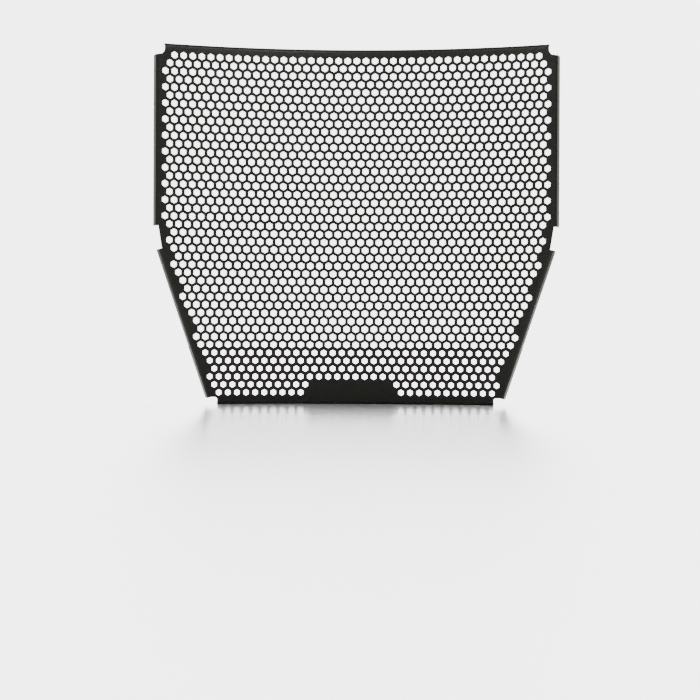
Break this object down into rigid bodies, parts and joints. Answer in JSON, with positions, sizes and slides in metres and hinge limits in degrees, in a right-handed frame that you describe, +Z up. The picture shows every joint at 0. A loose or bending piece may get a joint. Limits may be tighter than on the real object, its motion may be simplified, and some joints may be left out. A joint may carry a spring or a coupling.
{
  "type": "motorcycle radiator guard",
  "caption": "Black rolled sheet guard with a hexagon punching, folded lips and side flanges, that hooks over a radiator to keep stones off it.",
  "frame": {"origin": "middle of the bottom of the bounding box, at the foot of the bottom lip", "axes": "+X to the viewer's right, +Y away from the viewer towards the radiator, +Z up as the guard is fitted"},
  "size_m": [0.3506, 0.043, 0.311],
  "materials": {
    "black_powder_coat": "satin black powder coat on aluminium"
  },
  "bodies": {
    "root": {"guard_sheet": "black_powder_coat"}
  },
  "joints": []
}
